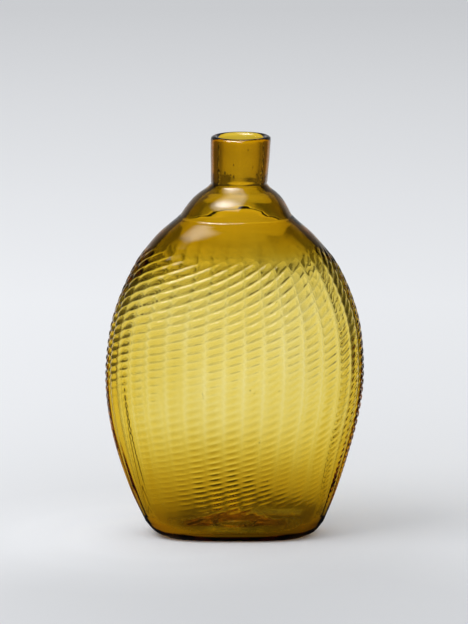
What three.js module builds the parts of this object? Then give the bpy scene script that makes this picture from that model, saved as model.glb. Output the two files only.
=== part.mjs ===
// A pocket flask of olive-amber glass, mould-ribbed and blown by the half-post method.
// A first gather of glass makes the neck and the lining of the body. A second gather,
// taken over it up to a ridge below the neck, makes the outer wall with its ribs.
// Millimetres, +Z up, origin under the middle of the foot, broad faces along Y.
import * as THREE from 'three';

// Driving dimensions. Outlines are pairs of half-width and height, read on the flask
// seen from its broad face. Each is drawn as if the flask were still round.
const HEIGHT = 165;
const BORE_RADIUS = 8.9;
const LIP_RADIUS = 12.2;
const FOOT_OUTER = 28;
const FOOT_INNER = 21.5;
const KICK_UP = 6.5;
const BODY_OUTLINE = [
  [FOOT_OUTER, 0], [33, 2.1], [36.6, 6], [41.6, 17], [46.2, 30], [50.2, 45], [52.6, 62],
  [52.3, 76], [50.2, 90], [46, 102.5], [39.6, 115], [31.5, 124.7], [23.4, 131.6],
];
const KICK_UP_OUTLINE = [[0, KICK_UP], [5, 6.1], [11, 4.3], [17, 1.5], [FOOT_INNER, 0]];
const DOME_OUTLINE = [[22.3, 132.2], [20.1, 136.9], [15.3, 141.9], [12.2, 144.3], [11.5, 146.6]];
const NECK_OUTLINE = [[11.7, 152], [LIP_RADIUS, HEIGHT - 1.9]];

// Wall, measured square to the outline where the flask is widest, against height.
// Over the broad faces it comes out at about half of this.
const SECOND_GATHER_WALL = [[0, 2.4], [20, 1.9], [60, 1.7], [115, 1.4], [131, 0.8]];
const FIRST_GATHER_WALL = [[0, 2.2], [20, 1.8], [60, 1.7], [115, 2.1], [131, 2.6], [140, 3.1], [147, 2.8]];
const GAP = 0.6;

// Flattening: depth as a share of width, how square the oval is, and how far the
// middle wanders sideways, each against height. The middle of the kick-up stays round.
const DEPTH_SHARE = [[0, 0.56], [12, 0.53], [30, 0.51], [75, 0.51], [105, 0.535], [120, 0.61], [132, 0.81], [144, 1]];
const SQUARENESS = [[0, 3], [6, 2.7], [20, 2.35], [100, 2.35], [125, 2.1], [135, 2]];
const LEAN = [[0, 0.2], [35, -0.6], [66, 0], [110, 0.7], [131, 0.5], [144, 1.7], [HEIGHT, 2.6]];
const ROUND_WITHIN = 2;
const OVAL_FROM = 27;

// How finely the smooth shapes are cut up.
const BODY_ROWS = 16;
const KICK_UP_ROWS = 4;
const DOME_ROWS = 6;
const PLAIN_COLUMNS = 36;

const RIBS = 36;
const RIB_DEPTH = 0.35;
const RIBS_START = 6;
const RIBS_FULL = 16;
const RIBS_FADE = 108;
const RIBS_END = 120;

const PONTIL_RADIUS = 8;
const PONTIL_WIDTH = 3.2;
const PONTIL_THICKNESS = 1.4;
const PONTIL_GAP = 0.35;

const GLASS = { color: 0x9a7a12, roughness: 0.06, metalness: 0, transparent: true, opacity: 0.6 };

// A smooth curve of value against height through a few stations.
function against(stations) {
  const curve = new THREE.CubicInterpolant(stations.map(s => s[0]), stations.map(s => s[1]), 1);
  return height => curve.evaluate(height)[0];
}

const depthShare = against(DEPTH_SHARE);
const squareness = against(SQUARENESS);
const lean = against(LEAN);
const outerWall = against(SECOND_GATHER_WALL);
const innerWall = against(FIRST_GATHER_WALL);

// Rows of points along a smooth outline through its given points.
function rowsAlong(outline, rows) {
  const curve = new THREE.SplineCurve(outline.map(([r, z]) => new THREE.Vector2(r, z)));
  return curve.getPoints(rows);
}

// The same rows moved into the glass, square to the outline, by a depth set by height.
// A row on the axis stays there.
function inset(rows, depthAt) {
  return rows.map((point, i) => {
    const before = rows[Math.max(i - 1, 0)];
    const after = rows[Math.min(i + 1, rows.length - 1)];
    const along = after.clone().sub(before).normalize();
    const depth = depthAt(point.y);
    const onAxis = point.x === 0;
    const x = onAxis ? 0 : point.x - along.y * depth;
    return new THREE.Vector2(x, point.y + (onAxis ? 1 : along.x) * depth);
  });
}

// How strongly the ribs stand at a height: they run out on the shoulder and at the foot.
function ribShare(z) {
  const rise = THREE.MathUtils.smoothstep(z, RIBS_START, RIBS_FULL);
  return rise * (1 - THREE.MathUtils.smoothstep(z, RIBS_FADE, RIBS_END));
}

// Turns a round blow into the pressed, slightly leaning flask. Profile rows up to
// ribbedRows carry the upright ribs, a crest and a hollow on alternate columns.
function flattened(profile, columns, ribbedRows = 0) {
  const geometry = new THREE.LatheGeometry(profile, columns);
  geometry.rotateX(Math.PI / 2);
  geometry.deleteAttribute('normal');
  geometry.deleteAttribute('uv');
  const position = geometry.getAttribute('position');
  for (let i = 0; i < position.count; i++) {
    const z = position.getZ(i);
    const angle = Math.atan2(position.getY(i), position.getX(i));
    let r = Math.hypot(position.getX(i), position.getY(i));
    if (i % profile.length < ribbedRows) r += RIB_DEPTH * ribShare(z) * Math.cos(RIBS * angle);
    const oval = THREE.MathUtils.smoothstep(r, ROUND_WITHIN, OVAL_FROM);
    const n = THREE.MathUtils.lerp(2, squareness(z), oval);
    const c = Math.cos(angle);
    const s = Math.sin(angle);
    r /= (Math.abs(c) ** n + Math.abs(s) ** n) ** (1 / n);
    position.setXYZ(i, r * c + lean(z), r * s * THREE.MathUtils.lerp(1, depthShare(z), oval), z);
  }
  geometry.computeVertexNormals();
  return geometry;
}

// Outside of the whole body, from the middle of the kick-up over the foot to the ridge.
const kickUpRows = rowsAlong(KICK_UP_OUTLINE, KICK_UP_ROWS);
const bodyRows = rowsAlong(BODY_OUTLINE, BODY_ROWS);
const outside = [...kickUpRows, ...bodyRows];

// The second gather is a cup: the outside, and the same line one wall further in.
function secondGather() {
  const inside = inset(outside, outerWall).reverse();
  return flattened([...outside, ...inside], 2 * RIBS, outside.length);
}

// The first gather lines that cup, bulges out above the ridge as a dome and is drawn up
// into the neck. Its lip is sheared off and rounded by the fire.
function firstGather() {
  const against2nd = inset(outside, z => outerWall(z) + GAP);
  const lining = inset(outside, z => outerWall(z) + GAP + innerWall(z));
  const dome = rowsAlong(DOME_OUTLINE, DOME_ROWS);
  const neck = NECK_OUTLINE.map(([r, z]) => new THREE.Vector2(r, z));
  const lip = [
    new THREE.Vector2(LIP_RADIUS - 0.5, HEIGHT - 0.6),
    new THREE.Vector2((LIP_RADIUS + BORE_RADIUS) / 2 + 0.4, HEIGHT),
    new THREE.Vector2((LIP_RADIUS + BORE_RADIUS) / 2 - 0.4, HEIGHT),
    new THREE.Vector2(BORE_RADIUS + 0.4, HEIGHT - 0.7),
  ];
  const bore = [
    new THREE.Vector2(BORE_RADIUS, HEIGHT - 2),
    new THREE.Vector2(BORE_RADIUS, HEIGHT - 17.5),
  ];
  const under = inset(dome, innerWall).reverse();
  return flattened([...against2nd, ...dome, ...neck, ...lip, ...bore, ...under, ...lining.reverse()], PLAIN_COLUMNS);
}

// The scar is the broken ring of glass that a tube-shaped pontil rod leaves in the
// kick-up. It follows the kick-up's underside.
function pontilScar() {
  const underside = against(KICK_UP_OUTLINE);
  const across = [-1, -0.4, 0.3, 1].map(share => PONTIL_RADIUS + share * PONTIL_WIDTH / 2);
  const top = across.map(r => new THREE.Vector2(r, underside(r) - PONTIL_GAP)).reverse();
  const broken = across.slice(1, 3).map(
    (r, i) => new THREE.Vector2(r, underside(r) - PONTIL_GAP - PONTIL_THICKNESS * (0.75 + 0.25 * i)));
  const ring = [...broken, ...top];
  return flattened([...ring, ring[0].clone()], PLAIN_COLUMNS);
}

function named(name, geometry, look = GLASS) {
  const mesh = new THREE.Mesh(geometry, new THREE.MeshStandardMaterial(look));
  mesh.name = name;
  return mesh;
}

const flask = new THREE.Group();
flask.add(named('first_gather', firstGather()));
flask.add(named('second_gather', secondGather()));
flask.add(named('pontil_scar', pontilScar(), { ...GLASS, roughness: 0.5 }));

export default flask;
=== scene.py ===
import functools
import math

import bmesh
import bpy
from mathutils import Matrix, Vector, noise


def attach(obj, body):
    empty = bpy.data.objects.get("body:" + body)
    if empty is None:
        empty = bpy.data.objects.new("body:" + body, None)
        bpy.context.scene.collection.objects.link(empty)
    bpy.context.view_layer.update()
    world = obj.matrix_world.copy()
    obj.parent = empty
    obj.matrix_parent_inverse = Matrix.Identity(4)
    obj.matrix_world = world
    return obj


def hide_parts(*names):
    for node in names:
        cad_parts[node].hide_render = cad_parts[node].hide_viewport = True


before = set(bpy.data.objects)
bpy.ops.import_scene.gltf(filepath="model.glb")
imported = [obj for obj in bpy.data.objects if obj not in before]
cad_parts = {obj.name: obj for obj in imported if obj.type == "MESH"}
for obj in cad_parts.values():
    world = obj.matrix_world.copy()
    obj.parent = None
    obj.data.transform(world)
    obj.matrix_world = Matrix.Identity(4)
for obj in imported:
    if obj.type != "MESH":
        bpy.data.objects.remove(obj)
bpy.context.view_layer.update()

# The glass of the flask: a first gather for the neck and the lining, and a second one
# fused over it up to the ridge. Olive-amber, blown in a ribbed mould, twisted, put in the
# mould again and pressed flat. It is made in millimetres and brought to metres at its end.
RIBS = 36
STEPS_PER_RIB = 7
COLUMNS = RIBS * STEPS_PER_RIB

# Half-width and height along the skin as if it were still round, in runs that meet at
# corners.
KICK_UP = [(0, 6.5), (5, 6.1), (11, 4.3), (17, 1.5), (21.5, 0.05), (23, 0), (26.5, 0), (28.4, 0.12)]
FOOT = [(28.4, 0.12), (33, 2.1), (36.6, 6)]
RIBBED_BODY = [
    (36.6, 6), (41.6, 17), (46.2, 30), (50.2, 45), (52.6, 62), (52.3, 76), (50.2, 90), (46, 102.5),
    (39.6, 115), (34.8, 121),
]
SHOULDER = [(34.8, 121), (31.5, 124.7), (25.4, 130), (23.7, 131.5)]
RIM_OF_SECOND_GATHER = [(23.7, 131.5), (23.4, 131.9), (22.9, 132.2), (22.5, 132.7)]
DOME = [
    (22.5, 132.7), (21.4, 134.6), (19.9, 137), (18.1, 139.4), (15.4, 141.9), (12.7, 143.9), (12, 144.7),
]
NECK_JOINT = [(12, 144.7), (11.55, 145.2), (11.4, 145.7), (11.45, 146.2), (11.5, 146.8)]
NECK = [(11.5, 146.8), (11.7, 151), (12, 157), (12.2, 163.2)]
LIP = [(12.2, 163.2), (12, 164.5), (11.2, 165), (10, 165), (9.2, 164.5), (8.9, 163)]
BORE = [
    (8.9, 163), (8.8, 157), (8.6, 151), (8.5, 147), (8.6, 145), (9.5, 143.5), (11.6, 142), (14.3, 140),
    (16.1, 138), (17.5, 136), (19.1, 133.5),
]
LINING = [
    (19.1, 133.5), (21.6, 130), (26.1, 126), (30.6, 122), (34.4, 118), (38, 114), (40.7, 110),
    (43.4, 105), (46.2, 98.3), (48.8, 90), (50.6, 76), (50.7, 62), (49.7, 53), (47.8, 43), (45.9, 36),
    (44, 30), (41.9, 24), (40.3, 20), (38.6, 16), (36.4, 11), (33.6, 6.8), (30.5, 4), (26, 2.8),
]
LINING_OF_KICK_UP = [(26, 2.8), (21.5, 2.9), (17, 4.3), (11, 6.9), (5, 8.5), (0, 8.8)]


def smooth_curve(stations):
    """A smooth curve through points, as a function of their number: 0 for the first, 1 for the next."""
    points = [Vector(s) for s in stations]
    gaps = [max((b - a).length, 1e-6) for a, b in zip(points, points[1:])]
    steps = [(b - a) / g for a, b, g in zip(points, points[1:], gaps)]
    slopes = [steps[0]]
    for i in range(1, len(points) - 1):
        before, after = gaps[i - 1], gaps[i]
        slopes.append((steps[i - 1] * after + steps[i] * before) / (before + after))
    slopes.append(steps[-1])

    def at(place):
        i = min(int(place), len(gaps) - 1)
        t = place - i
        g = gaps[i]
        return (
            points[i] * (2 * t**3 - 3 * t**2 + 1) + slopes[i] * (g * (t**3 - 2 * t**2 + t))
            + points[i + 1] * (3 * t**2 - 2 * t**3) + slopes[i + 1] * (g * (t**3 - t**2))
        )

    return at


def against(stations):
    """A smooth value against height through (height, value) stations, level past both ends."""
    curve = smooth_curve(stations)
    heights = [s[0] for s in stations]

    @functools.cache
    def at(height):
        height = min(max(height, heights[0]), heights[-1])
        i = max(k for k in range(len(heights) - 1) if heights[k] <= height)
        return curve(i + (height - heights[i]) / (heights[i + 1] - heights[i])).y

    return at


def ease(value, low, high):
    """0 below low and 1 above high, smooth between."""
    t = min(max((value - low) / (high - low), 0), 1)
    return t * t * (3 - 2 * t)


def near(value, middle, width):
    """1 at the middle, fading out on both sides of it."""
    return math.exp(-(((value - middle) / width) ** 2))


# How the round blow was pressed: depth as a share of width outside and inside, how square
# the oval is, and how far the middle wanders sideways, each against height. The middle of
# the kick-up stays round.
depth_outside = against([
    (0, 0.56), (12, 0.53), (30, 0.51), (75, 0.51), (105, 0.535), (120, 0.602), (126, 0.678), (132, 0.812),
    (136, 0.905), (140, 0.975), (144, 1),
])
depth_inside = against([
    (0, 0.52), (6, 0.496), (10, 0.487), (13, 0.484), (16, 0.484), (20, 0.486), (24, 0.488), (30, 0.492),
    (36, 0.495), (43, 0.498), (53, 0.5), (62, 0.502), (76, 0.507), (90, 0.505), (98.3, 0.511),
    (105, 0.527), (110, 0.537), (114, 0.544), (118, 0.558), (122, 0.592), (126, 0.658), (130, 0.732),
    (133.5, 0.806), (136, 0.875), (138, 0.925), (140, 0.965), (142, 0.984), (144, 1),
])
squareness = against([(0, 3), (6, 2.7), (20, 2.35), (100, 2.35), (125, 2.1), (135, 2)])
lean = against([(0, 0.2), (35, -0.6), (66, 0), (110, 0.7), (131, 0.5), (144, 1.7), (165, 2.6)])
ROUND_WITHIN = 2
OVAL_FROM = 27


def pressed_flat(r, turn, z, outside):
    """Where a point of the round blow ends up across the pressed flask, from its turn past the front."""
    z = round(z, 3)
    oval = ease(r, ROUND_WITHIN, OVAL_FROM)
    n = 2 + (squareness(z) - 2) * oval
    s, c = math.sin(turn), -math.cos(turn)
    if r > 1e-6:
        r /= (abs(c) ** n + abs(s) ** n) ** (1 / n)
    share = 1 + ((depth_outside if outside else depth_inside)(z) - 1) * oval
    return r * s + lean(z), r * c * share


# How far apart the swirled ribs are up the flask, how deep their grooves are cut and how
# far they bulge, and how deep the upright ribs press, each against height.
swirl_pitch = against([
    (0, 2.3), (34, 2.4), (42, 3.0), (50, 3.5), (60, 3.3), (78, 3.3), (90, 3.8), (125, 3.9),
])
groove_depth = against([
    (0, 0), (7, 0), (13, 0.08), (18, 0.3), (30, 0.28), (40, 0.06), (66, 0.03), (76, 0.08), (86, 0.17),
    (96, 0.25), (106, 0.31), (113, 0.32), (117, 0.22), (121, 0),
])
groove_width = against([(0, 0.16), (34, 0.14), (50, 0.095), (80, 0.085), (95, 0.07), (120, 0.068)])
bulge_depth = against([
    (0, 0), (7, 0), (16, 0.08), (30, 0.14), (44, 0.26), (66, 0.27), (84, 0.22), (100, 0.16),
    (112, 0.14), (118, 0.07), (121, 0),
])
upright_depth = against([(0, 0), (7, 0.05), (18, 0.2), (60, 0.32), (95, 0.26), (112, 0.18), (121, 0)])
upright_sharpness = against([
    (0, 1.5), (34, 1.4), (50, 1.25), (68, 1.4), (82, 2.4), (100, 3.5), (120, 4),
])
UPRIGHT_SPREAD = 0.07
UPRIGHT_START = math.radians(4.5)
DRAWN_OUT = 0.18

# Rows crowd towards the grooves by this share, and less near the ribs' two ends.
ROWS_CROWDED = 0.6
UNCROWDED_WITHIN = 4


def swirl_kept(turn, height, pressed):
    """How much of the swirled ribs' relief is left at a place on the body."""
    across_face = math.sin(turn)
    front = 0.5 + 0.5 * math.cos(turn)
    low_down = 1 - ease(height, 30, 50)
    # The upright ribs press it flat, but less so on the shoulder.
    kept = 1 - pressed * (0.95 - 0.45 * ease(height, 85, 105))
    # It is fainter on the back, and stronger round the narrow sides.
    kept *= 1 - (0.65 + 0.11 * low_down) * (1 - ease(front, 0.25, 0.6))
    kept *= 1 + across_face**4
    # Near the foot it stands only down the middle of each face.
    middle = near(math.remainder(turn + 0.1, math.pi), 0, 0.36)
    kept *= 1 - 0.88 * (1 - middle) * low_down
    # It runs out on the shoulder above the faces, low on the left, and a little on the right.
    kept *= 1 - ease(height, 114, 118) * (1 - ease(abs(across_face), 0.55, 0.85))
    kept *= 1 - 0.8 * ease(-across_face, 0.65, 0.95) * (1 - ease(height, 52, 74))
    right = ease(across_face, 0.35, 0.6) * (1 - ease(across_face, 0.82, 0.95))
    return kept * (1 - 0.3 * right * ease(front, 0.4, 0.6) * ease(height, 75, 90))


def heavier(turn, z, place):
    """How much thicker the glass is than even, from inside: the blow sagged and was turned by hand."""
    across_face = math.sin(turn)
    wavy = 0.16 * noise.noise(place * 0.07) + 0.08 * noise.noise(place * 0.21)
    above_foot = 0.4 * near(across_face, 0, 0.4) * near(z, 17, 9)
    under_shoulder = 0.2 * near(across_face, 0, 0.35) * near(z, 107, 6)
    left_shoulder = -0.6 * across_face * near(z, 112, 6)
    thin_right = 0.12 * ease(across_face, 0.2, 0.6) * ease(z, 50, 65) * (1 - ease(z, 95, 110))
    return wavy + above_foot + under_shoulder + left_shoulder - thin_right


# Heights of the rows over the ribs, so that each rib has the same few rows.
RIBS_START = RIBBED_BODY[0][1]
RIBS_END = RIBBED_BODY[-1][1]
row_heights = [RIBS_START]
while row_heights[-1] < RIBS_END:
    z = row_heights[-1]
    z += swirl_pitch(z) / STEPS_PER_RIB
    row_heights.append(z)
row_heights[-1] = RIBS_END

# Each run of the skin with the length of one row of faces. The ribbed body has its own
# rows. The profile is spun into a round blow, and its points remember their rows.
RUNS = [
    (KICK_UP, 2.4), (FOOT, 1.2), (RIBBED_BODY, None), (SHOULDER, 1.1), (RIM_OF_SECOND_GATHER, 0.35),
    (DOME, 1.5), (NECK_JOINT, 0.5), (NECK, 4), (LIP, 0.7), (BORE, 3), (LINING + LINING_OF_KICK_UP[1:], 5),
]
radius_at = against([(z, r) for r, z in RIBBED_BODY])
bm = bmesh.new()
row_of = bm.verts.layers.float.new("row_over_the_ribs")
is_outside = bm.verts.layers.float.new("is_outside")
outside = 1
for stations, row in RUNS:
    if stations is BORE:
        outside = 0
    curve = smooth_curve(stations)
    if row is None:
        edge = bm.edges.new((bm.verts.new((0, 1, 0)), bm.verts.new((len(row_heights) - 1, 1, 0))))
        bmesh.ops.subdivide_edges(bm, edges=[edge], cuts=len(row_heights) - 2)
    else:
        for i, (a, b) in enumerate(zip(stations, stations[1:])):
            edge = bm.edges.new((bm.verts.new((i, 1, 0)), bm.verts.new((i + 1, 1, 0))))
            cuts = round(math.dist(a, b) / row) - 1
            if cuts > 0:
                bmesh.ops.subdivide_edges(bm, edges=[edge], cuts=cuts)
    for v in bm.verts:
        if v.co.y:
            v[is_outside] = outside
            if row is None:
                v[row_of] = round(v.co.x) + 1
                z = row_heights[round(v.co.x)]
                v.co = (radius_at(z), 0, z)
            else:
                r, z = curve(v.co.x)
                v.co = (r, 0, z)
bmesh.ops.remove_doubles(bm, verts=bm.verts[:], dist=1e-4)
bmesh.ops.spin(
    bm, geom=bm.verts[:] + bm.edges[:], cent=(0, 0, 0), axis=(0, 0, 1), angle=2 * math.pi,
    steps=COLUMNS, use_merge=True, use_duplicate=False,
)
bmesh.ops.remove_doubles(bm, verts=bm.verts[:], dist=1e-4)
bmesh.ops.recalc_face_normals(bm, faces=bm.faces[:])

# The pattern is drawn out on the left of each broad face and crowded on the right, so
# each column of points gets its turn past the front by solving for it.
turn_of = []
for column in range(COLUMNS):
    even = 2 * math.pi * column / COLUMNS
    turn = even
    for step in range(20):
        past = turn - DRAWN_OUT * math.cos(2 * turn) - even
        turn -= past / (1 + 2 * DRAWN_OUT * math.sin(2 * turn))
    turn_of.append(turn)

# The blow is pressed flat. The ribs, the groove at the back of the ridge, the joint of the
# neck and the unevenness of the lining are then raised on it along its normals.
PLAIN_ABOVE = 125
UNEVEN_ABOVE = 12
RIDGE = 132
RIDGE_GROOVE, RIDGE_GROOVE_WIDTH = 0.42, 0.42
RIDGE_WANDERS, RIDGE_WANDERS_WITHIN = 0.12, 3
JOINT = 145.7
JOINT_GROOVE, JOINT_GROOVE_WIDTH = 0.1, 0.4
PRESSED_MORE_AT_SIDES = 1.5
relief = []
for v in bm.verts:
    column = round(math.degrees(math.atan2(v.co.x, -v.co.y)) / 360 * COLUMNS) % COLUMNS
    turn = turn_of[column]
    r, z = math.hypot(v.co.x, v.co.y), v.co.z
    outside = v[is_outside] > 0.5
    row = round(v[row_of]) - 1
    lift = 0
    if row >= 0:
        phase = ((column - row) % STEPS_PER_RIB) / STEPS_PER_RIB
        if phase > 0.5:
            phase -= 1
        to_the_end = min(z - RIBS_START, RIBS_END - z)
        crowded = ROWS_CROWDED * min(1, to_the_end / UNCROWDED_WITHIN)
        moved = phase - crowded / (2 * math.pi) * math.sin(2 * math.pi * phase)
        z -= (moved - phase) * swirl_pitch(z)
        r = radius_at(round(z, 3))
        height = row_heights[row]
        upright = RIBS * (turn + UPRIGHT_SPREAD * math.sin(2 * turn) - UPRIGHT_START)
        pressed = (0.5 + 0.5 * math.cos(upright)) ** upright_sharpness(height)
        groove = near(moved, 0, groove_width(height))
        bulge = 0.5 - 0.5 * math.cos(2 * math.pi * moved)
        swirl = bulge_depth(height) * (bulge - 0.5) - groove_depth(height) * groove
        lift = swirl_kept(turn, height, pressed) * swirl
        harder = 1 + PRESSED_MORE_AT_SIDES * math.sin(turn) ** 4
        lift -= upright_depth(height) * pressed * harder
    elif outside and z > PLAIN_ABOVE:
        behind = 1 - ease(0.5 + 0.5 * math.cos(turn), 0.1, 0.4)
        lift = -RIDGE_GROOVE * behind * near(z, RIDGE, RIDGE_GROOVE_WIDTH)
        lift -= JOINT_GROOVE * near(z, JOINT, JOINT_GROOVE_WIDTH)
        wander = math.sin(3 * turn + 1) + math.sin(5 * turn)
        z += RIDGE_WANDERS * wander * near(z, RIDGE, RIDGE_WANDERS_WITHIN)
    v.co = (*pressed_flat(r, turn, z, outside), z)
    if not outside and z > UNEVEN_ABOVE:
        lift = heavier(turn, z, v.co)
    relief.append(lift)
bm.normal_update()
moves = [v.normal * lift for v, lift in zip(bm.verts, relief)]
for v, move in zip(bm.verts, moves):
    v.co += move

# Seeds: bubbles caught in the wall, drawn out upright in the neck. Each is a turn past the
# front in degrees, a height, a width and a length.
SEEDS = [
    (-51, 151.2, 1.3, 2.6), (-50, 148.5, 1.3, 1.9), (-52, 146.7, 1.1, 1.2), (-47, 149.6, 0.6, 1.4),
    (-52, 155.2, 0.8, 5.5), (-51, 160.4, 0.7, 5), (54, 151.2, 1.3, 2.2), (56, 148.4, 1.2, 2.2),
    (51, 149.6, 0.6, 1.4), (56, 155, 0.9, 4.5), (55, 146.5, 0.9, 1.2), (55, 160, 0.7, 4.5),
    (58, 158, 0.5, 2.4), (-34, 150.8, 0.9, 2.4), (-20, 150.2, 0.6, 1.6), (-13, 149.5, 0.7, 2.2),
    (-14, 154.7, 0.5, 0.9), (40, 150.2, 0.8, 1.8), (16, 160.8, 0.4, 0.9), (2, 143, 0.7, 0.9),
    (18, 26.5, 0.5, 0.6), (12, 24.4, 0.4, 0.5), (7, 65, 0.5, 0.6), (20, 64.5, 0.4, 0.5),
    (12.5, 43, 0.5, 0.5), (9, 63.8, 0.3, 0.35), (33, 124, 0.45, 0.6), (40, 122, 0.4, 0.5),
    (44, 125.4, 0.5, 0.6), (48, 121.6, 0.4, 0.6), (-15, 118, 0.35, 0.45), (25, 110, 0.35, 0.4),
    (-28, 99, 0.3, 0.35), (160, 88, 0.45, 0.6), (195, 52, 0.4, 0.5), (150, 126, 0.4, 0.5),
    (215, 148, 0.5, 1.4), (140, 151, 0.5, 1.6), (95, 60, 0.4, 0.6), (-85, 40, 0.4, 0.5),
]
outer_skin = RIBBED_BODY
for run in (SHOULDER, RIM_OF_SECOND_GATHER, DOME, NECK_JOINT, NECK):
    outer_skin = outer_skin + run[1:]
inner_skin = (BORE + LINING[1:])[::-1]
outer_radius = against([(z, r) for r, z in outer_skin])
inner_radius = against([(z, r) for r, z in inner_skin])
for turn, z, width, length in SEEDS:
    turn = math.radians(turn)
    a = Vector(pressed_flat(outer_radius(z), turn, z, True))
    b = Vector(pressed_flat(inner_radius(z), turn, z, False))
    middle = Matrix.Translation(((a + b) / 2).to_3d() + Vector((0, 0, z)))
    drawn_up = Matrix.Diagonal((width, width, length, 1))
    seed = bmesh.ops.create_icosphere(bm, subdivisions=2, radius=0.5, matrix=middle @ drawn_up)
    bmesh.ops.reverse_faces(bm, faces=list({face for v in seed["verts"] for face in v.link_faces}))

bmesh.ops.scale(bm, vec=(0.001, 0.001, 0.001), verts=bm.verts[:])
for face in bm.faces:
    face.smooth = True
glass_mesh = bpy.data.meshes.new("flask_glass")
bm.to_mesh(glass_mesh)
bm.free()
flask_glass = bpy.data.objects.new("flask_glass", glass_mesh)
bpy.context.scene.collection.objects.link(flask_glass)


def worked_out(tree, operation, *values):
    """A Math node's result from sockets and numbers."""
    node = tree.nodes.new("ShaderNodeMath")
    node.operation = operation
    for socket, value in zip(node.inputs, values):
        if isinstance(value, (int, float)):
            socket.default_value = value
        else:
            tree.links.new(value, socket)
    return node.outputs["Value"]


def graded(tree, value, start, end, low=0, high=1):
    """low where the value is at start or before it, high at end or past it, even between."""
    slope = tree.nodes.new("ShaderNodeMapRange")
    slope.inputs["From Min"].default_value = start
    slope.inputs["From Max"].default_value = end
    slope.inputs["To Min"].default_value = low
    slope.inputs["To Max"].default_value = high
    tree.links.new(value, slope.inputs["Value"])
    return slope.outputs["Result"]


# Clear right through, with faint cords in it that were drawn out sideways. The foot is
# rubbed dull in patches where it stands. The colour deepens with the way through the glass.
amber = bpy.data.materials.new("olive_amber_glass")
amber.use_nodes = True
tree = amber.node_tree
glass = tree.nodes["Principled BSDF"]
glass.inputs["Base Color"].default_value = (1, 1, 1, 1)
glass.inputs["Transmission Weight"].default_value = 1
glass.inputs["Roughness"].default_value = 0
glass.inputs["IOR"].default_value = 1.5
place = tree.nodes.new("ShaderNodeTexCoord").outputs["Object"]
sideways = tree.nodes.new("ShaderNodeMapping")
sideways.inputs["Scale"].default_value = (1, 1, 2.5)
tree.links.new(place, sideways.inputs["Vector"])
cords = tree.nodes.new("ShaderNodeTexNoise")
cords.inputs["Scale"].default_value = 110
cords.inputs["Detail"].default_value = 1
tree.links.new(sideways.outputs["Vector"], cords.inputs["Vector"])
waves = tree.nodes.new("ShaderNodeBump")
waves.inputs["Distance"].default_value = 0.00003
tree.links.new(cords.outputs["Fac"], waves.inputs["Height"])
tree.links.new(waves.outputs["Normal"], glass.inputs["Normal"])
height = tree.nodes.new("ShaderNodeSeparateXYZ")
tree.links.new(place, height.inputs["Vector"])
scratches = tree.nodes.new("ShaderNodeTexNoise")
scratches.inputs["Scale"].default_value = 1400
scratches.inputs["Detail"].default_value = 3
tree.links.new(place, scratches.inputs["Vector"])
on_the_table = graded(tree, height.outputs["Z"], 0.0007, 0.0001)
scuffed = graded(tree, scratches.outputs["Fac"], 0.45, 0.65, 0, 0.4)
tree.links.new(worked_out(tree, "MULTIPLY", on_the_table, scuffed), glass.inputs["Roughness"])
depth = tree.nodes.new("ShaderNodeVolumeAbsorption")
depth.inputs["Color"].default_value = (0.93, 0.83, 0.12, 1)
depth.inputs["Density"].default_value = 1000
tree.links.new(depth.outputs["Volume"], tree.nodes["Material Output"].inputs["Volume"])
glass_mesh.materials.append(amber)
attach(flask_glass, "root")
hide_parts("first_gather", "second_gather")

# The pontil scar: the ring of glass broken off with the rod that held the flask by its
# base. The same amber, with small broken facets that are part clear and part frosted.
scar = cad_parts["pontil_scar"]
broken_amber = amber.copy()
broken_amber.name = "broken_amber_glass"
tree = broken_amber.node_tree
broken = tree.nodes["Principled BSDF"]
chips = tree.nodes.new("ShaderNodeTexVoronoi")
chips.inputs["Scale"].default_value = 700
tree.links.new(tree.nodes.new("ShaderNodeTexCoord").outputs["Object"], chips.inputs["Vector"])
facets = tree.nodes.new("ShaderNodeBump")
facets.inputs["Distance"].default_value = 0.0003
tree.links.new(chips.outputs["Distance"], facets.inputs["Height"])
tree.links.new(facets.outputs["Normal"], broken.inputs["Normal"])
frosted = graded(tree, chips.outputs["Distance"], 0, 1, 0.12, 0.55)
tree.links.new(frosted, broken.inputs["Roughness"])
scar.data.materials.clear()
scar.data.materials.append(broken_amber)

# The floor: seamless pale paper, painted brightest some way off, with a painted pool of light
# by the flask where the light through the glass would fall, and painted shade towards the
# right. What the glass itself shows of the floor is a painted glow, darker under the flask as
# a painted shadow, and darker far away and towards the corners of the room as painted shade.
FLOOR_RADIUS = 8
bm = bmesh.new()
bmesh.ops.create_circle(bm, cap_ends=True, segments=96, radius=FLOOR_RADIUS)
floor_mesh = bpy.data.meshes.new("floor")
bm.to_mesh(floor_mesh)
bm.free()
floor = bpy.data.objects.new("floor", floor_mesh)
bpy.context.scene.collection.objects.link(floor)


def across(tree, value, low, high):
    """0 below low and 1 above high, smooth between."""
    fade = tree.nodes.new("ShaderNodeMapRange")
    fade.interpolation_type = "SMOOTHSTEP"
    fade.inputs["From Min"].default_value = low
    fade.inputs["From Max"].default_value = high
    tree.links.new(value, fade.inputs["Value"])
    return fade.outputs["Result"]


def greys(tree, value, reach, tones, tint=(1, 1, 1)):
    """A grey for each distance or height up to the reach, even between the tones."""
    ramp = tree.nodes.new("ShaderNodeValToRGB")
    tree.links.new(worked_out(tree, "DIVIDE", value, reach), ramp.inputs["Fac"])
    for i, (at, grey) in enumerate(tones):
        stop = ramp.color_ramp.elements[i] if i < 2 else ramp.color_ramp.elements.new(at / reach)
        stop.position = at / reach
        stop.color = [grey * share for share in tint] + [1]
    return ramp.outputs["Color"]


def how_far(tree, centre):
    """The distance from a point on the floor."""
    away = tree.nodes.new("ShaderNodeVectorMath")
    away.operation = "DISTANCE"
    away.inputs[1].default_value = centre
    tree.links.new(tree.nodes.new("ShaderNodeTexCoord").outputs["Object"], away.inputs[0])
    return away.outputs["Value"]
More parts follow.
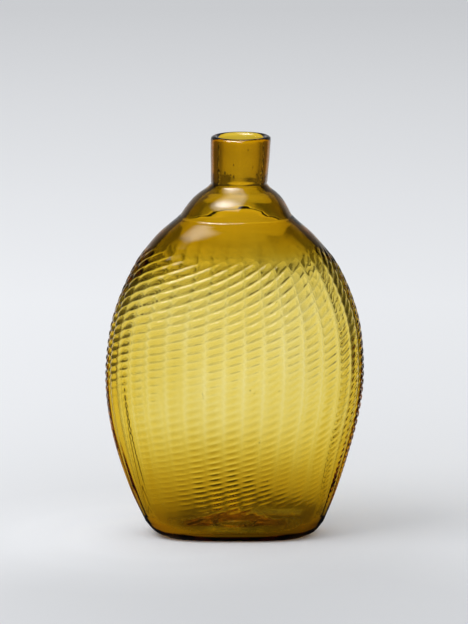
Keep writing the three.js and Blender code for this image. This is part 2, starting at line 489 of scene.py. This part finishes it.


# The room is dim towards its corners, half-way between two sides of the flask: darker light in
# the world, and painted shade in the floor's glow that the glass shows. Over the floor that
# starts 0.2 m away and is full only beyond 1.9 m.
CORNER = 0.16
DIM = 0.28
FAR_CORNERS = 20
CORNERS_START = (0.2, 0.6)
CORNERS_FULL = (1.35, 1.9)
STRAIGHT_BEHIND = (0.5, 0.85)
MIRRORED_FRONT = 0.06


def in_the_room(tree, vector, over_floor):
    """1 towards each side of the flask and dim towards the corners, and 1 straight behind, else 0."""
    split = tree.nodes.new("ShaderNodeSeparateXYZ")
    tree.links.new(vector, split.inputs["Vector"])
    xx = worked_out(tree, "POWER", split.outputs["X"], 2)
    yy = worked_out(tree, "POWER", split.outputs["Y"], 2)
    square = worked_out(tree, "ADD", worked_out(tree, "ADD", xx, yy), 1e-9)
    length = worked_out(tree, "SQRT", square)
    share = worked_out(tree, "DIVIDE", xx, square)
    corner = worked_out(tree, "MULTIPLY", worked_out(tree, "SUBTRACT", 1, share), share)
    strength = FAR_CORNERS
    if over_floor:
        far_off = across(tree, length, *CORNERS_FULL)
        close_by = across(tree, length, *CORNERS_START)
        strength = worked_out(tree, "MULTIPLY_ADD", far_off, FAR_CORNERS - 1, close_by)
    corner = worked_out(tree, "MULTIPLY", strength, corner)
    behind = across(tree, worked_out(tree, "DIVIDE", split.outputs["Y"], length), *STRAIGHT_BEHIND)
    return graded(tree, corner, 0, CORNER, 1, DIM), behind


def through_or_mirrored(tree, through, mirrored):
    """What the glass shows: one tone where a ray came through it, another where it glanced off."""
    path = tree.nodes.new("ShaderNodeLightPath")
    rest = worked_out(tree, "SUBTRACT", through, mirrored)
    return worked_out(tree, "MULTIPLY_ADD", path.outputs["Is Transmission Ray"], rest, mirrored)


def glass_shows(tree, tone, shade, behind):
    """A tone of the room in the glass: shaded through it, and mirrored only from behind the flask."""
    through = worked_out(tree, "MULTIPLY", tone, shade)
    mirrored = worked_out(tree, "MULTIPLY", tone, worked_out(tree, "MAXIMUM", behind, MIRRORED_FRONT))
    return through_or_mirrored(tree, through, mirrored)


def met_in_glass(tree):
    """1 for a ray that a piece of glass has bent or mirrored."""
    ray = tree.nodes.new("ShaderNodeLightPath")
    return worked_out(tree, "MAXIMUM", ray.outputs["Is Glossy Ray"], ray.outputs["Is Transmission Ray"])


# Tones against the distance in metres: of the paper with its painted falloff of light, of the
# painted light through the glass on it as about half of its strength, and of the painted glow
# that the glass shows, with its painted shadow under the flask.
# Painted light: the paper itself is even, and these tones paint it brighter some way off and darker close
# in front and far away, as the light falls off.
PAPER_WITH_PAINTED_FALLOFF = [
    (0, 0.7), (0.095, 0.745), (0.15, 0.83), (0.215, 0.86), (0.425, 0.925), (0.675, 0.98), (0.98, 0.945),
    (1.37, 0.875), (1.8, 0.78),
]
PAINTED_LIGHT_THROUGH_GLASS = [
    (0, 0.597), (0.035, 0.592), (0.045, 0.572), (0.06, 0.556), (0.07, 0.536), (0.085, 0.517),
    (0.1, 0.503), (0.12, 0.5),
]
PAINTED_FLOOR_IN_GLASS = [
    (0, 0.07), (0.02, 0.1), (0.029, 0.13), (0.036, 0.3), (0.045, 0.46), (0.069, 0.62), (0.1, 0.76),
    (0.135, 0.86), (0.2, 0.94), (0.42, 0.97), (0.515, 0.92), (0.617, 0.8), (0.77, 0.75), (0.95, 0.7),
    (1.2, 0.62), (1.6, 0.58), (2.4, 0.52),
]
COOL = (0.98, 1, 1.035)
LIT_STRENGTH = 2.02
PAINTED_SHADE_TO_THE_RIGHT = 0.06
paper = bpy.data.materials.new("pale_paper")
paper.use_nodes = True
tree = paper.node_tree
matt = tree.nodes["Principled BSDF"]
matt.inputs["Roughness"].default_value = 1
matt.inputs["Specular IOR Level"].default_value = 0
place = tree.nodes.new("ShaderNodeTexCoord").outputs["Object"]
split = tree.nodes.new("ShaderNodeSeparateXYZ")
tree.links.new(place, split.inputs["Vector"])
# Painted shade: the paper is painted a little darker towards the right, the side away from the lamp.
shaded_side_mask = across(tree, split.outputs["X"], -0.2, 0.15)
less = worked_out(tree, "MULTIPLY", shaded_side_mask, PAINTED_SHADE_TO_THE_RIGHT)
strength = worked_out(tree, "SUBTRACT", LIT_STRENGTH, less)
# Painted light: a brighter patch by the flask stands in for the light that comes through the glass.
painted_light_patch = greys(tree, how_far(tree, (-0.03, -0.01, 0)), 0.15, PAINTED_LIGHT_THROUGH_GLASS)
lit = tree.nodes.new("ShaderNodeVectorMath")
lit.operation = "SCALE"
tree.links.new(greys(tree, how_far(tree, (0, -0.15, 0)), 2, PAPER_WITH_PAINTED_FALLOFF, COOL), lit.inputs[0])
tree.links.new(worked_out(tree, "MULTIPLY", painted_light_patch, strength), lit.inputs["Scale"])
tree.links.new(lit.outputs["Vector"], matt.inputs["Base Color"])
shade, behind = in_the_room(tree, place, over_floor=True)
# Painted light and shadow: for rays that the glass bent or mirrored, the floor glows instead of being
# lit. The glow has a painted shadow under the flask, and painted shade far off and towards the corners.
tone = greys(tree, how_far(tree, (0.008, 0.012, 0)), 2.5, PAINTED_FLOOR_IN_GLASS)
painted_floor_glow = tree.nodes.new("ShaderNodeEmission")
tree.links.new(glass_shows(tree, tone, shade, behind), painted_floor_glow.inputs["Strength"])
mix = tree.nodes.new("ShaderNodeMixShader")
tree.links.new(met_in_glass(tree), mix.inputs["Fac"])
tree.links.new(matt.outputs["BSDF"], mix.inputs[1])
tree.links.new(painted_floor_glow.outputs["Emission"], mix.inputs[2])
tree.links.new(mix.outputs["Shader"], tree.nodes["Material Output"].inputs["Surface"])
floor_mesh.materials.append(paper)

# The light: an even room with one lamp up to the left for the floor and its shadow. The
# glass shows a room that darkens upwards, and one large soft box in it up to the left.
EVEN = 0.745
SWEEP_BEHIND = (0.62, 0.63, 0.64, 1)
ROOM = [(0, 0.52), (0.08, 0.5), (0.2, 0.3), (0.4, 0.15), (0.7, 0.08)]
world = bpy.data.worlds.new("studio")
bpy.context.scene.world = world
world.use_nodes = True
tree = world.node_tree
even = tree.nodes["Background"]
even.inputs["Color"].default_value = (EVEN, EVEN, EVEN, 1)
seen = tree.nodes.new("ShaderNodeBackground")
seen.inputs["Color"].default_value = SWEEP_BEHIND
around = tree.nodes.new("ShaderNodeBackground")
around.inputs["Color"].default_value = (1, 1, 1, 1)
way = tree.nodes.new("ShaderNodeTexCoord").outputs["Generated"]
up = tree.nodes.new("ShaderNodeSeparateXYZ")
tree.links.new(way, up.inputs["Vector"])
shade, behind = in_the_room(tree, way, over_floor=False)
room = glass_shows(tree, greys(tree, up.outputs["Z"], 1, ROOM), shade, behind)


def slanted_edge(tree, place, other, slant, start, end):
    """0 before an edge and 1 past it, where the edge shifts with the other direction."""
    return across(tree, worked_out(tree, "MULTIPLY_ADD", other, slant, place), start, end)


# The soft box hangs in a ceiling one metre up, and its place there is how far sideways and
# how far away it is. Its edges are soft and slant, the right one in two steps. A bulb
# shows through its cloth.
SOFT_BOX = 4.9
SOFT_BOX_THROUGH_GLASS = 0.75
BULB = 2.6
BULB_SIDEWAYS, BULB_AWAY = -0.43, -0.5
BULB_SPREAD = 0.35
LOWEST = 0.3
rise = worked_out(tree, "MAXIMUM", up.outputs["Z"], 0.1)
sideways = worked_out(tree, "DIVIDE", up.outputs["X"], rise)
away = worked_out(tree, "DIVIDE", up.outputs["Y"], rise)
left_edge = slanted_edge(tree, sideways, away, -0.45, -1.25, -0.7)
right_edge = worked_out(tree, "MULTIPLY", across(tree, sideways, -0.6, -0.1), 0.4)
right_edge = worked_out(tree, "MULTIPLY_ADD", across(tree, sideways, 0.1, 0.3), 0.6, right_edge)
near_edge = slanted_edge(tree, away, sideways, 0.9, -3, -1.75)
far_edge = slanted_edge(tree, away, sideways, -0.3, 0.07, 0.47)
box = worked_out(
    tree, "MULTIPLY", worked_out(tree, "SUBTRACT", left_edge, right_edge),
    worked_out(tree, "SUBTRACT", near_edge, far_edge))
box = worked_out(tree, "MULTIPLY", box, worked_out(tree, "GREATER_THAN", up.outputs["Z"], LOWEST))
beside = worked_out(tree, "POWER", worked_out(tree, "SUBTRACT", sideways, BULB_SIDEWAYS), 2)
before = worked_out(tree, "POWER", worked_out(tree, "SUBTRACT", away, BULB_AWAY), 2)
bulb = across(tree, worked_out(tree, "ADD", beside, before), BULB_SPREAD, 0)
bulb = worked_out(tree, "MULTIPLY", bulb, through_or_mirrored(tree, 0, BULB))
box = worked_out(tree, "MULTIPLY", worked_out(tree, "ADD", bulb, 1), box)
box = worked_out(tree, "MULTIPLY", box, through_or_mirrored(tree, SOFT_BOX_THROUGH_GLASS, 1))
tree.links.new(worked_out(tree, "MULTIPLY_ADD", box, SOFT_BOX, room), around.inputs["Strength"])
lit_or_shown = tree.nodes.new("ShaderNodeMixShader")
tree.links.new(met_in_glass(tree), lit_or_shown.inputs["Fac"])
tree.links.new(even.outputs["Background"], lit_or_shown.inputs[1])
tree.links.new(around.outputs["Background"], lit_or_shown.inputs[2])
by_camera = tree.nodes.new("ShaderNodeMixShader")
tree.links.new(tree.nodes.new("ShaderNodeLightPath").outputs["Is Camera Ray"], by_camera.inputs["Fac"])
tree.links.new(lit_or_shown.outputs["Shader"], by_camera.inputs[1])
tree.links.new(seen.outputs["Background"], by_camera.inputs[2])
tree.links.new(by_camera.outputs["Shader"], tree.nodes["World Output"].inputs["Surface"])

LOW_ON_FLASK = Vector((0, 0, 0.05))
key = bpy.data.lights.new("key", "AREA")
key.shape = "RECTANGLE"
key.size, key.size_y = 0.8, 0.8
key.energy = 5.3
key_lamp = bpy.data.objects.new("key", key)
key_lamp.location = (-0.75, -0.4, 1.15)
key_lamp.rotation_euler = (LOW_ON_FLASK - key_lamp.location).to_track_quat("-Z", "Y").to_euler()
bpy.context.scene.collection.objects.link(key_lamp)
key_lamp.visible_camera = False
key_lamp.visible_glossy = False
key_lamp.visible_transmission = False

# The camera: a long lens 2.2 m in front of the flask, looking down at the middle of its
# body from about 11 degrees above level.
AIM = Vector((-0.0002, 0, 0.09235))
lens = bpy.data.cameras.new("camera")
lens.lens = 311
lens.sensor_width = 36
camera = bpy.data.objects.new("camera", lens)
camera.location = (-0.0002, -2.1596, 0.4998)
camera.rotation_euler = (AIM - camera.location).to_track_quat("-Z", "Y").to_euler()
bpy.context.scene.collection.objects.link(camera)
bpy.context.scene.camera = camera
bpy.context.scene.view_settings.view_transform = "Standard"
